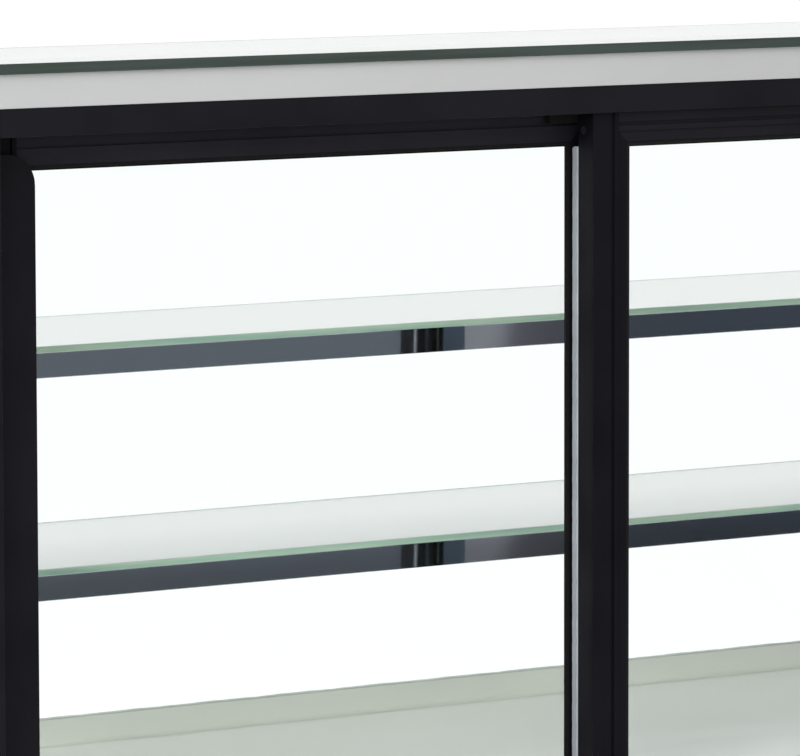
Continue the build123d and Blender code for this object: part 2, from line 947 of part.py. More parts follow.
with BuildPart() as end_panels:
    with BuildSketch(Plane.YZ.offset(inside_width)) as end_outline:
        with BuildLine():
            Polyline(
                (front, rim_height),
                (panel_face, rim_height),
                (panel_face, frame_top),
                (front, frame_top),
                close=True,
            )
        make_face()
        top_corner = end_outline.vertices().group_by(Axis.X)[0].sort_by(Axis.Y)[-1]
        chamfer(top_corner, panel_bevel)
    extrude(amount=panel_sheet)
    mirror(about=Plane.YZ)
save(end_panels, "end_panels")

with BuildPart() as kick_plate:
    kick_y = -rail_y - tube_width / 2
    block((-cross_x, cross_x), (kick_y - panel_sheet, kick_y), (kick_ground_gap, frame_top))
save(kick_plate, "kick_plate")

# Rear panel with louvres and the cut-outs for the controls, the tray and the gland
tray_z = (plate_top + tray_lift, plate_top + tray_lift + tray_height)
with BuildPart() as rear_panel:
    block((-inside_width, inside_width), (panel_back, panel_face), (plate_top, rim_height))
    block(
        (
            control_x - control_length / 2 - panel_clearance,
            control_x + control_length / 2 + panel_clearance,
        ),
        (panel_back, panel_face),
        (
            control_z - control_height / 2 - panel_clearance,
            control_z + control_height / 2 + panel_clearance,
        ),
        Mode.SUBTRACT,
    )
    block(
        (
            tray_x - tray_length / 2 - panel_clearance,
            tray_x + tray_length / 2 + panel_clearance,
        ),
        (panel_back, panel_face),
        (plate_top, tray_z[1] + panel_clearance),
        Mode.SUBTRACT,
    )
    gland_y = (panel_back + panel_face) / 2
    rod((gland_x, gland_y, gland_z), gland_radius + touch_gap, panel_sheet, "y", Mode.SUBTRACT)
    with BuildSketch(Plane.XZ.offset(-panel_face)):
        with Locations((condenser_x, condenser_z)):
            with GridLocations(louvre_column_pitch, louvre_pitch, louvre_columns, louvre_rows):
                SlotOverall(louvre_length, louvre_width)
    extrude(amount=panel_sheet, mode=Mode.SUBTRACT)
save(rear_panel, "rear_panel")

# Control panel with two rockers, two buttons and a display lens
control_x_ends = (control_x - control_length / 2, control_x + control_length / 2)
control_z_ends = (control_z - control_height / 2, control_z + control_height / 2)
bezel_face = panel_face + bezel
rocker_x = (
    control_x_ends[0] + rocker_pitch / 2 + bezel_margin,
    control_x_ends[0] + 3 * rocker_pitch / 2 + bezel_margin,
)
button_x = (
    rocker_x[1] + rocker_pitch,
    rocker_x[1] + rocker_pitch + button_pitch,
)
lens_x = (
    control_x_ends[1] - bezel_margin - lens_length,
    control_x_ends[1] - bezel_margin,
)
lens_z = (control_z - lens_height / 2, control_z + lens_height / 2)
button_y = bezel_face + button_proud - button_length / 2
button_floor = bezel_face + button_proud - button_length - bezel
with BuildPart() as control:
    block(control_x_ends, (panel_face - control_depth, panel_face), control_z_ends)
    block(
        (control_x_ends[0] - bezel_margin, control_x_ends[1] + bezel_margin),
        (panel_face, bezel_face),
        (control_z_ends[0] - bezel_margin, control_z_ends[1] + bezel_margin),
    )
    for place in rocker_x:
        block(
            (
                place - rocker_width / 2 - rocker_clearance,
                place + rocker_width / 2 + rocker_clearance,
            ),
            (bezel_face - rocker_pocket, bezel_face),
            (
                control_z - rocker_height / 2 - 2 * rocker_clearance,
                control_z + rocker_height / 2 + 2 * rocker_clearance,
            ),
            Mode.SUBTRACT,
        )
    for place in button_x:
        rod(
            (place, (button_floor + bezel_face) / 2, control_z),
            button_radius + button_clearance,
            bezel_face - button_floor,
            "y",
            Mode.SUBTRACT,
        )
    block(lens_x, (bezel_face - lens_depth, bezel_face), lens_z, Mode.SUBTRACT)
    block(lens_x, (bezel_face - lens_depth, bezel_face), lens_z)
save(control, "control_panel")

pivot_y = bezel_face - rocker_depth / 2 - rocker_sink
tilt = radians(rocker_tilt)
for name, place in zip(("power", "light"), rocker_x):
    rocker_plane = Plane(
        origin=(place - rocker_width / 2, pivot_y, control_z),
        x_dir=(0, cos(tilt), -sin(tilt)),
        z_dir=(1, 0, 0),
    )
    with BuildPart() as rocker:
        with BuildSketch(rocker_plane):
            with BuildLine():
                Polyline(
                    (-rocker_depth / 2, -rocker_height / 2),
                    (rocker_depth / 2, -rocker_height / 2),
                    (rocker_depth / 2 - rocker_dip, 0),
                    (rocker_depth / 2, rocker_height / 2),
                    (-rocker_depth / 2, rocker_height / 2),
                    close=True,
                )
            make_face()
        extrude(amount=rocker_width)
    save(rocker, f"{name}_rocker")

for name, place in zip(("set", "defrost"), button_x):
    with BuildPart() as button:
        rod((place, button_y, control_z), button_radius, button_length, "y")
        chamfer(button.faces().sort_by(Axis.Y)[-1].edges(), button_chamfer)
    save(button, f"{name}_button")

# Cable gland, empty
with BuildPart() as gland:
    rod(
        (gland_x, panel_face + gland_flange / 2, gland_z),
        gland_flange_radius,
        gland_flange,
        "y",
    )
    rod((gland_x, panel_face - gland_length / 2, gland_z), gland_radius, gland_length, "y")
    rod(
        (gland_x, panel_face, gland_z),
        gland_bore / 2,
        2 * gland_length,
        "y",
        Mode.SUBTRACT,
    )
save(gland, "cable_gland")

# Drip tray that pulls out at the service side
tray_x_ends = (tray_x - tray_length / 2, tray_x + tray_length / 2)
tray_y = (panel_face - tray_depth, panel_face)
with BuildPart() as tray:
    block(tray_x_ends, tray_y, tray_z)
    block(
        (tray_x_ends[0] + tray_wall, tray_x_ends[1] - tray_wall),
        (tray_y[0] + tray_wall, tray_y[1] - tray_wall),
        (tray_z[0] + tray_wall, tray_z[1]),
        Mode.SUBTRACT,
    )
    block(
        (tray_x_ends[0] - tray_face_margin, tray_x_ends[1] + tray_face_margin),
        (panel_face, panel_face + tray_face),
        (plate_top, tray_z[1] + tray_face_margin),
    )
save(tray, "drip_tray")

# Compressor on a foot plate with four rubber grommets
compressor_base = plate_top + compressor_grommet
with BuildPart() as compressor:
    with BuildSketch(Plane.XY.offset(compressor_base)):
        with Locations((compressor_x, compressor_y)):
            RectangleRounded(compressor_foot_length, compressor_foot_width, compressor_grommet)
    extrude(amount=compressor_foot)
    with BuildSketch(Plane.XY.offset(compressor_base + compressor_foot)):
        with Locations((compressor_x, compressor_y)):
            Ellipse(compressor_radius, compressor_foot_width / 2)
    extrude(amount=compressor_height)
    fillet(compressor.faces().sort_by(Axis.Z)[-1].edges(), compressor_crown)
    with BuildSketch(Plane.XY.offset(plate_top)):
        with Locations((compressor_x, compressor_y)):
            with GridLocations(
                compressor_foot_length - 4 * compressor_grommet,
                compressor_foot_width - 4 * compressor_grommet,
                2,
                2,
            ):
                Circle(compressor_grommet)
    extrude(amount=compressor_grommet)
save(compressor, "compressor")


def tube_height_in(z, row):
    """Height of a coil's tube, rows counted from the bottom."""
    return z[0] + (row + 0.5) * (z[1] - z[0]) / coil_rows


def finned_coil(x, y, z, pitch):
    """A coil: tubes along X through a row of plate fins, with an end plate each side."""
    count = int((x[1] - x[0]) / pitch)
    step = (x[1] - x[0] - fin) / count
    with BuildPart() as coil:
        for index in range(count + 1):
            start = x[0] + index * step
            block((start, start + fin), y, z)
        for row in range(coil_rows):
            rod(
                ((x[0] + x[1]) / 2, (y[0] + y[1]) / 2, tube_height_in(z, row)),
                coil_tube / 2,
                x[1] - x[0] + 2 * fin,
                "x",
            )
    return coil


condenser_ends = (condenser_x - condenser_length / 2, condenser_x + condenser_length / 2)
condenser_y = (
    panel_back - condenser_panel_gap - condenser_depth,
    panel_back - condenser_panel_gap,
)
condenser_span = (plate_top, plate_top + condenser_rise + condenser_height)
condenser = finned_coil(condenser_ends, condenser_y, condenser_span, fin_pitch)
save(condenser, "condenser")

evaporator_span = (evaporator_y - evaporator_depth / 2, evaporator_y + evaporator_depth / 2)
evaporator_rise = (cavity_floor, evaporator_z + evaporator_height)
evaporator = finned_coil(
    (-evaporator_length / 2, evaporator_length / 2),
    evaporator_span,
    evaporator_rise,
    evaporator_fin_pitch,
)
save(evaporator, "evaporator")

# Condenser fan: a cowl with its motor on a strap, and the blades on the shaft
cowl_y = (condenser_y[0] - cowl_gap - cowl, condenser_y[0] - cowl_gap)
fan_y = (cowl_y[1] - fan_depth, cowl_y[1])
motor_y = (fan_y[0] - motor_gap - motor_length, fan_y[0] - motor_gap)
cowl_half = fan_radius + fan_tip_clearance + strap_width
with BuildPart() as fan_cowl:
    block(
        (condenser_x - cowl_half, condenser_x + cowl_half),
        cowl_y,
        (plate_top, condenser_z + cowl_half),
    )
    rod(
        (condenser_x, sum(cowl_y) / 2, condenser_z),
        fan_radius + fan_tip_clearance,
        cowl,
        "y",
        Mode.SUBTRACT,
    )
    rod(
        (condenser_x, sum(motor_y) / 2, condenser_z),
        motor_radius,
        motor_length,
        "y",
    )
    shaft_length = fan_y[1] - motor_y[1]
    rod(
        (condenser_x, motor_y[1] + shaft_length / 2, condenser_z),
        motor_shaft / 2,
        shaft_length,
        "y",
    )
    for side in (-1, 1):
        leg = condenser_x + side * (cowl_half - strap_width / 2)
        strap = (condenser_z - strap_width / 2, condenser_z + strap_width / 2)
        block((leg - cowl / 2, leg + cowl / 2), (motor_y[1] - cowl, cowl_y[0]), strap)
        block(
            tuple(sorted((condenser_x + side * (motor_radius - cowl), leg))),
            (motor_y[1] - cowl, motor_y[1]),
            strap,
        )
save(fan_cowl, "condenser_fan_cowl")

with BuildPart() as fan_blades_part:
    hub_y = (fan_y[0], fan_y[1] - fan_blade)
    hub_middle = (condenser_x, sum(hub_y) / 2, condenser_z)
    rod(hub_middle, fan_hub_radius, hub_y[1] - hub_y[0], "y")
    blade_length = fan_radius - fan_hub_radius + fan_blade
    blade_plane = Plane(origin=hub_middle, x_dir=(1, 0, 0), z_dir=(0, 1, 0))
    with Locations(blade_plane.location):
        with PolarLocations(fan_hub_radius - fan_blade + blade_length / 2, fan_blades):
            Box(
                blade_length,
                fan_blade_chord,
                fan_blade,
                rotation=(fan_blade_pitch, 0, 0),
            )
    rod(
        hub_middle,
        (motor_shaft + shaft_clearance) / 2,
        fan_depth,
        "y",
        Mode.SUBTRACT,
    )
save(fan_blades_part, "condenser_fan_blades")

# Cross-flow blower that moves the cold air under the deck
blower_y = evaporator_span[1] + blower_gap + blower_sheet + blower_radius
blower_z = cavity_floor + blower_sheet + blower_gap + blower_radius
blower_ends = (blower_x - blower_length / 2, blower_x + blower_length / 2)
housing_reach = blower_radius + blower_gap
with BuildPart() as housing:
    for side in (-1, 1):
        end = blower_x + side * (blower_length / 2 + blower_gap)
        end_x = tuple(sorted((end, end + side * blower_sheet)))
        block(
            end_x,
            (blower_y - housing_reach, blower_y + housing_reach + blower_sheet),
            (cavity_floor, blower_z + housing_reach),
        )
        rod(
            (sum(end_x) / 2, blower_y, blower_z),
            (blower_shaft + shaft_clearance) / 2,
            blower_sheet,
            "x",
            Mode.SUBTRACT,
        )
    housing_x = (blower_ends[0] - blower_gap, blower_ends[1] + blower_gap)
    block(
        housing_x,
        (blower_y - housing_reach, blower_y + housing_reach + blower_sheet),
        (cavity_floor, cavity_floor + blower_sheet),
    )
    block(
        housing_x,
        (blower_y + housing_reach, blower_y + housing_reach + blower_sheet),
        (cavity_floor, blower_z + housing_reach),
    )
save(housing, "blower_housing")

with BuildPart() as rotor:
    for side in (-1, 1):
        disc = blower_x + side * (blower_length - blower_disc) / 2
        rod((disc, blower_y, blower_z), blower_radius, blower_disc, "x")
    shaft_half = blower_length / 2 + blower_shaft_end
    rod((blower_x, blower_y, blower_z), blower_shaft / 2, 2 * shaft_half, "x")
    blade_plane = Plane(origin=(blower_x, blower_y, blower_z), x_dir=(0, 1, 0), z_dir=(1, 0, 0))
    with Locations(blade_plane.location):
        with PolarLocations(blower_radius - blower_blade_chord / 2 - blower_blade, blower_blades):
            Box(blower_blade_chord, blower_blade, blower_length)
save(rotor, "blower_rotor")

# Copper pipes: liquid line, suction line and discharge line
evaporator_tube = tube_height_in(evaporator_rise, 1)
liquid_tube = tube_height_in(condenser_span, coil_rows - 1)
hot_tube = tube_height_in(condenser_span, 1)
condenser_middle = (condenser_y[0] + condenser_y[1]) / 2
condenser_out = condenser_ends[1] + pipe_reach
suction_height = compressor_base + compressor_foot + compressor_height / 2
shell_side = compressor_y - compressor_foot_width / 2
liquid_run = (
    (-evaporator_length / 2 - fin, evaporator_y, evaporator_tube),
    (feed_x, evaporator_y, evaporator_tube),
    (feed_x, evaporator_y, liquid_tube),
    (feed_x, condenser_middle, liquid_tube),
    (condenser_ends[0] - fin, condenser_middle, liquid_tube),
)
suction_run = (
    (evaporator_length / 2 + fin, evaporator_y, evaporator_tube),
    (return_x, evaporator_y, evaporator_tube),
    (return_x, evaporator_y, suction_height),
    (compressor_x, evaporator_y, suction_height),
    (compressor_x, shell_side, suction_height),
)
discharge_run = (
    (compressor_x - compressor_radius, compressor_y, hot_tube),
    (condenser_out, compressor_y, hot_tube),
    (condenser_out, condenser_middle, hot_tube),
    (condenser_ends[1] + fin, condenser_middle, hot_tube),
)
with BuildPart() as pipes:
    for run in (liquid_run, suction_run, discharge_run):
        with BuildLine() as route:
            FilletPolyline(*run, radius=pipe_bend)
        with BuildSketch(Plane(route.line @ 0, z_dir=route.line % 0)):
            Circle(pipe_diameter / 2)
        sweep(path=route.line)
save(pipes, "refrigerant_pipes")
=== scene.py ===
# Looks of the refrigerated display cabinet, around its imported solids, in metres.
import json
import math

import bmesh
import bpy
from mathutils import Matrix, Vector


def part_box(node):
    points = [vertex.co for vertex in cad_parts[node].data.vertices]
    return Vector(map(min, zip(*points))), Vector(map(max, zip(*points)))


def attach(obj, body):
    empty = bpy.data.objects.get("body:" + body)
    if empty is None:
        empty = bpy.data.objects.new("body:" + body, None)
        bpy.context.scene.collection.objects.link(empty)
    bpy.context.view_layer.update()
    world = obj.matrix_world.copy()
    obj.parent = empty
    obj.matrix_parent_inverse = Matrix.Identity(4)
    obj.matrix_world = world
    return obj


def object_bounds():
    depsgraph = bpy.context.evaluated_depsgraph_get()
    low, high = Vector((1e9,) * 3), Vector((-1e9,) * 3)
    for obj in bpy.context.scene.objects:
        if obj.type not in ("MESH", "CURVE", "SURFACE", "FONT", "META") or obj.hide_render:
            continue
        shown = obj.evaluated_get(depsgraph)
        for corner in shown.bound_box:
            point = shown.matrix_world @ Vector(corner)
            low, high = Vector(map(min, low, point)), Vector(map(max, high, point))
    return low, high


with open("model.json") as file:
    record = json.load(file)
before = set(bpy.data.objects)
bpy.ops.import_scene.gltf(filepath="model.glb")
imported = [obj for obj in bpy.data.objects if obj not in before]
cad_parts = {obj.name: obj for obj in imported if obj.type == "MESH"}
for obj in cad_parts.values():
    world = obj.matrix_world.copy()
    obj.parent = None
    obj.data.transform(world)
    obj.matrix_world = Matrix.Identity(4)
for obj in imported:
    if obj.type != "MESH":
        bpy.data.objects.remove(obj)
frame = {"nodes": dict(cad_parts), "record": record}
cad_low, cad_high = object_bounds()
nodes = frame["nodes"]
MM = 0.001

# Line of the hood in the CAD, for what follows it
HOOD_TOP = cad_high.z
HOOD_RADIUS = 180 * MM
HOOD_GLASS = 10 * MM
HOOD_SLOPE = math.radians(13)
BEND_Y = 70.07 * MM

# The photograph's camera, solved from the cabinet's parallel edges
IMAGE_WIDTH = 800
CAMERA_PLACE = (3.44123, 5.20996, 1.53727)
CAMERA_YAW = 33.186
CAMERA_PITCH = 5.939
CAMERA_ROLL = -0.1225
FOCAL_PIXELS = 6020.97
SENSOR = 36.0
NEAREST, FARTHEST = 0.1, 300


def make_camera():
    """A camera at the photograph's place, with no shift and no depth of field."""
    yaw = math.radians(CAMERA_YAW)
    pitch = math.radians(CAMERA_PITCH)
    roll = math.radians(CAMERA_ROLL)
    ahead = Vector(
        (-math.sin(yaw) * math.cos(pitch), -math.cos(yaw) * math.cos(pitch), -math.sin(pitch))
    )
    right = Vector((-math.cos(yaw), math.sin(yaw), 0))
    up = right.cross(ahead)
    tilted_right = right * math.cos(roll) + up * math.sin(roll)
    tilted_up = up * math.cos(roll) - right * math.sin(roll)
    data = bpy.data.cameras.new("camera")
    data.sensor_width = SENSOR
    data.lens = FOCAL_PIXELS * SENSOR / IMAGE_WIDTH
    data.clip_start = NEAREST
    data.clip_end = FARTHEST
    camera = bpy.data.objects.new("camera", data)
    axes = Matrix((tilted_right, tilted_up, -ahead)).transposed().to_4x4()
    camera.matrix_world = Matrix.Translation(CAMERA_PLACE) @ axes
    bpy.context.scene.collection.objects.link(camera)
    bpy.context.scene.camera = camera


def srgb(red, green, blue):
    """Linear colour of an sRGB colour given in 0 to 255."""
    def channel(value):
        value /= 255
        if value <= 0.04045:
            return value / 12.92
        return ((value + 0.055) / 1.055) ** 2.4

    return (channel(red), channel(green), channel(blue), 1)


class Maker:
    """Builds one material: a Principled shader and the nodes that feed it."""

    def __init__(self, name, colour, roughness, metallic=0.0, **sockets):
        self.material = bpy.data.materials.new(name)
        self.material.use_nodes = True
        self.tree = self.material.node_tree
        self.tree.nodes.clear()
        self.output = self.add("OutputMaterial")
        self.shader = self.add("BsdfPrincipled")
        self.set(self.shader, "Base Color", colour)
        self.set(self.shader, "Roughness", roughness)
        self.set(self.shader, "Metallic", metallic)
        for key, value in sockets.items():
            self.set(self.shader, key.replace("_", " "), value)
        self.join(self.shader.outputs[0], self.output.inputs["Surface"])
        self.colour = colour
        self.roughness = roughness

    def add(self, kind, **values):
        """A node of this kind with the given attributes."""
        node = self.tree.nodes.new("ShaderNode" + kind)
        for key, value in values.items():
            setattr(node, key, value)
        return node

    def set(self, node, socket, value):
        """Sets a socket's own value."""
        node.inputs[socket].default_value = value

    def join(self, source, target):
        """Links two sockets."""
        self.tree.links.new(source, target)

    def place(self, scale=(1, 1, 1)):
        """Object coordinates, stretched."""
        coordinates = self.add("TexCoord")
        mapping = self.add("Mapping")
        self.set(mapping, "Scale", scale)
        self.join(coordinates.outputs["Object"], mapping.inputs["Vector"])
        return mapping.outputs["Vector"]

    def noise(self, scale, detail, stretch=(1, 1, 1)):
        """A noise value over the surface, at a scale in cycles a metre."""
        node = self.add("TexNoise")
        self.set(node, "Scale", scale)
        self.set(node, "Detail", detail)
        self.join(self.place(stretch), node.inputs["Vector"])
        return node.outputs["Fac"]

    def ranged(self, value, low, high, start=0.3, end=0.7):
        """Maps a value from one range to another."""
        node = self.add("MapRange")
        self.join(value, node.inputs["Value"])
        self.set(node, "From Min", start)
        self.set(node, "From Max", end)
        self.set(node, "To Min", low)
        self.set(node, "To Max", high)
        return node.outputs["Result"]

    def vary_colour(self, factor, other):
        """Lets the base colour wander to another colour as the factor goes from 0 to 1."""
        node = self.add("Mix", data_type="RGBA")
        for key, value in (("A", self.colour), ("B", other)):
            socket = [i for i in node.inputs if i.name == key and i.type == "RGBA"][0]
            socket.default_value = value
        self.join(factor, node.inputs[0])
        mixed = [o for o in node.outputs if o.type == "RGBA"][0]
        self.join(mixed, self.shader.inputs["Base Color"])

    def vary_brightness(self, factor, share):
        """Lets the base colour wander to this share of its own brightness."""
        self.vary_colour(factor, tuple(c * share for c in self.colour[:3]) + (1,))

    def vary_roughness(self, value, spread):
        """Lets the roughness wander by a spread."""
        low, high = self.roughness - spread, self.roughness + spread
        self.join(self.ranged(value, low, high), self.shader.inputs["Roughness"])

    def bump(self, value, height, strength):
        """Raises the surface a little where the value is high."""
        node = self.add("Bump")
        self.set(node, "Strength", strength)
        self.set(node, "Distance", height)
        self.join(value, node.inputs["Height"])
        self.join(node.outputs["Normal"], self.shader.inputs["Normal"])

    def any_ray(self, outputs):
        """One when any of these Light Path outputs is one."""
        path = self.add("LightPath")
        value = path.outputs[outputs[0]]
        for name in outputs[1:]:
            larger = self.add("Math", operation="MAXIMUM")
            self.join(value, larger.inputs[0])
            self.join(path.outputs[name], larger.inputs[1])
            value = larger.outputs[0]
        return value

    def blend(self, factor, first, second):
        """Puts a mix of two shaders on the surface."""
        mixer = self.add("MixShader")
        self.join(factor, mixer.inputs[0])
        self.join(first.outputs[0], mixer.inputs[1])
        self.join(second.outputs[0], mixer.inputs[2])
        self.join(mixer.outputs[0], self.output.inputs["Surface"])

    def lets_lamps_through(self, tint):
        """Glass: rays from lamps pass with a tint."""
        clear = self.add("BsdfTransparent")
        self.set(clear, "Color", tint)
        self.blend(self.any_ray(("Is Shadow Ray", "Is Diffuse Ray")), self.shader, clear)


def black_metal(name, colour, roughness, grain, gloss):
    """Black anodised or painted metal with a fine grain and uneven gloss."""
    made = Maker(name, colour, roughness, Specular_IOR_Level=gloss)
    coarse = made.noise(scale=9, detail=4)
    fine = made.noise(scale=grain, detail=2)
    made.vary_brightness(made.ranged(coarse, 0, 1), share=1.5)
    made.vary_roughness(coarse, spread=0.05)
    made.bump(fine, height=0.02 * MM, strength=0.5)
    return made.material


def satin_metal(name, colour, roughness, stretch, metallic, gloss=0.5, lines_strength=0.4):
    """Satin metal with fine drawn lines along the long side."""
    made = Maker(name, colour, roughness, metallic, Specular_IOR_Level=gloss)
    lines = made.noise(scale=700, detail=2, stretch=stretch)
    cloud = made.noise(scale=3, detail=3)
    made.vary_brightness(made.ranged(cloud, 0, 1), share=0.95)
    made.vary_roughness(lines, spread=0.04)
    made.bump(lines, height=0.01 * MM, strength=lines_strength)
    return made.material


def mirror_metal(name, colour, roughness):
    """Polished metal with faint smears and no relief."""
    made = Maker(name, colour, roughness, metallic=1.0)
    smear = made.noise(scale=7, detail=3, stretch=(0.3, 1, 1))
    made.vary_brightness(made.ranged(smear, 0, 1), share=0.95)
    made.vary_roughness(smear, spread=0.02)
    return made.material


def plain(name, colour, roughness, metallic=0.0, grain=300, **sockets):
    """A surface with a fine grain and slightly uneven gloss and colour."""
    made = Maker(name, colour, roughness, metallic, **sockets)
    cloud = made.noise(scale=12, detail=4)
    fine = made.noise(scale=grain, detail=2)
    made.vary_brightness(made.ranged(cloud, 0, 1), share=0.85)
    made.vary_roughness(fine, spread=0.05)
    made.bump(fine, height=0.02 * MM, strength=0.4)
    return made.material


def cut_edge(name, colour, deep):
    """Ground and polished edge of a pane, green from the depth of the glass."""
    made = Maker(name, colour, roughness=0.16)
    streak = made.noise(scale=5, detail=4, stretch=(1, 6, 30))
    made.vary_colour(made.ranged(streak, 0, 1), deep)
    made.vary_roughness(streak, spread=0.05)
    return made.material


def glass(name, tint, index, lamp_tint, painted_shade_tint=None, span=None):
    """Clear glass, open to rays from lamps. Its tint may change between two places in Y, which
    paints shade.
    """
    made = Maker(name, tint, roughness=0.0, IOR=index, Transmission_Weight=1.0)
    if painted_shade_tint:
        parts = made.add("SeparateXYZ")
        made.join(made.place(), parts.inputs[0])
        made.vary_colour(made.ranged(parts.outputs["Y"], 0, 1, *span), painted_shade_tint)
    made.lets_lamps_through(lamp_tint)
    return made.material


def lit(name, colour, glow, strength):
    """A plain surface that shines by itself."""
    made = Maker(
        name, colour, roughness=0.5, Emission_Color=glow, Emission_Strength=strength
    )
    return made.material


# Black metals: colour, roughness, grain in cycles a metre, gloss. Satin metals: colour,
# roughness, stretch of the drawn lines, metallic, gloss, strength of the lines.
# Plain ones: colour, roughness, metallic, grain. Glass: tint, index of refraction, tint of
# lamp light, and for the lower shelf the painted shade's darker tint at its service side and the
# span in Y.
MATERIALS = {
    "black_anodised": black_metal("black_anodised", srgb(17, 16, 20), 0.36, 900, 0.09),
    # The doors' frame is one black metal in lit and shaded copies: the stiles darker, a painted
    # shade; the left door's rails lighter, painted light; the right door's rails darker than those,
    # a painted shade
    "stile_black_painted_shade": black_metal("stile_black_painted_shade", srgb(13, 12, 16), 0.4, 900, 0.06),
    # The stiles' faces into the cabinet: a light bluish grey in place of their black, painted light
    # for how the polished bars mirror them
    "stile_back_painted_light": black_metal("stile_back_painted_light", srgb(84, 94, 108), 0.5, 900, 0.1),
    "right_rail_black_painted_shade": black_metal("right_rail_black_painted_shade", srgb(18, 17, 21), 0.4, 900, 0.1),
    "left_rail_black_painted_light": black_metal("left_rail_black_painted_light", srgb(25, 23, 29), 0.4, 900, 0.14),
    "handle_black": black_metal("handle_black", srgb(17, 16, 20), 0.42, 900, 0.07),
    "painted_panel": black_metal("painted_panel", srgb(24, 23, 26), 0.42, 600, 0.3),
    "painted_steel": black_metal("painted_steel", srgb(40, 40, 43), 0.45, 400, 0.3),
    "satin_aluminium": satin_metal(
        "satin_aluminium", srgb(170, 170, 170), 0.5, (0.02, 1, 1), 0.0, 0.3
    ),
    "satin_steel": satin_metal(
        "satin_steel", srgb(204, 203, 199), 0.5, (0.02, 1, 1), 0.0, 0.3, 0.1
    ),
    # The deck's upstand face: a near-white, polished copy of the deck's steel, painted light so
    # that it shows as bright as the deck top
    "upstand_painted_light": mirror_metal("upstand_painted_light", srgb(250, 250, 247), 0.2),
    "galvanised_steel": satin_metal(
        "galvanised_steel", srgb(170, 173, 176), 0.45, (1, 1, 1), 0.7
    ),
    "coil_metal": satin_metal("coil_metal", srgb(190, 190, 188), 0.35, (1, 1, 0.05), 0.8),
    "polished_steel": mirror_metal("polished_steel", srgb(204, 206, 210), 0.05),
    "copper_pipe": plain("copper_pipe", srgb(200, 120, 80), 0.3, 1.0),
    "rubber": plain("rubber", srgb(20, 20, 21), 0.8, Specular_IOR_Level=0.15),
    "spacer_black": plain("spacer_black", srgb(16, 17, 18), 0.7, Specular_IOR_Level=0.15),
    "pile": plain("pile", srgb(176, 180, 184), 0.9, 0.0, 500),
    "dark_plastic": plain("dark_plastic", srgb(28, 28, 30), 0.5),
    "light_plastic": plain("light_plastic", srgb(222, 222, 218), 0.45),
    "silicone": plain("silicone", srgb(150, 156, 154), 0.35, 0.0, 90),
    "trim_grey": plain("trim_grey", srgb(150, 153, 150), 0.5, 0.0, 90),
    "fin_white": plain("fin_white", srgb(150, 154, 160), 0.6, 0.0, 700),
    # The deck bead's sealant: a pale grey, lifted well above the silicone joints' grey as painted
    # light against the shade it sits in
    "bead_grey_painted_light": plain("bead_grey_painted_light", srgb(206, 208, 204), 0.4, 0.0, 90),
    "display_red": lit("display_red", srgb(190, 30, 20), srgb(255, 70, 40), 1.2),
    "clear_glass": glass("clear_glass", (0.96, 0.985, 0.97, 1), 1.25, (0.95, 0.97, 0.96, 1)),
    "front_glass": glass("front_glass", (0.985, 1, 0.997, 1), 1.1, (0.96, 0.975, 0.97, 1)),
    "upper_shelf_glass": glass(
        "upper_shelf_glass", (0.76, 0.77, 0.74, 1), 1.4, (0.88, 0.9, 0.88, 1)
    ),
    # The lower shelf's glass: a darker copy of the upper's, darker still towards the service side,
    # a painted shade
    "lower_shelf_glass_painted_shade": glass(
        "lower_shelf_glass_painted_shade",
        (0.69, 0.7, 0.68, 1),
        1.4,
        (0.86, 0.88, 0.86, 1),
        (0.44, 0.46, 0.44, 1),
        (-0.05, 0.154),
    ),
    "door_glass": glass("door_glass", (0.99, 1, 1, 1), 1.1, (0.97, 0.98, 0.98, 1)),
    "hood_edge": cut_edge("hood_edge", srgb(55, 65, 60), srgb(40, 48, 43)),
    "shelf_edge": cut_edge("shelf_edge", srgb(172, 192, 170), srgb(136, 168, 152)),
}

# Nodes whose material differs from the one named after their slot; those of the door stiles and
# rails are lit and shaded copies of one black, painted light and shade
NODE_MATERIAL = {
    "shelf_glasses": "upper_shelf_glass",
    "left_door_stiles": "stile_black_painted_shade",
    "right_door_stiles": "stile_black_painted_shade",
    "left_door_rails": "left_rail_black_painted_light",
    "right_door_rails": "right_rail_black_painted_shade",
    "left_door_handle": "handle_black",
    "right_door_handle": "handle_black",
    "left_door_spacer": "spacer_black",
    "right_door_spacer": "spacer_black",
}

# Share of a face's normal along an axis from which the face counts as facing along it, and
# the stricter share for the hood's flat ends
FACING = 0.5
FLAT_END = 0.9
# How far in from the deck's edge on the customer side the upstand's painted light reaches
UPSTAND_REACH = 30 * MM


def paint_faces(node, material, chosen):
    """Gives a second material to the faces of a node that the test picks."""
    mesh = nodes[node].data
    mesh.materials.append(MATERIALS[material])
    index = len(mesh.materials) - 1
    for face in mesh.polygons:
        if chosen(face.center, face.normal):
            face.material_index = index


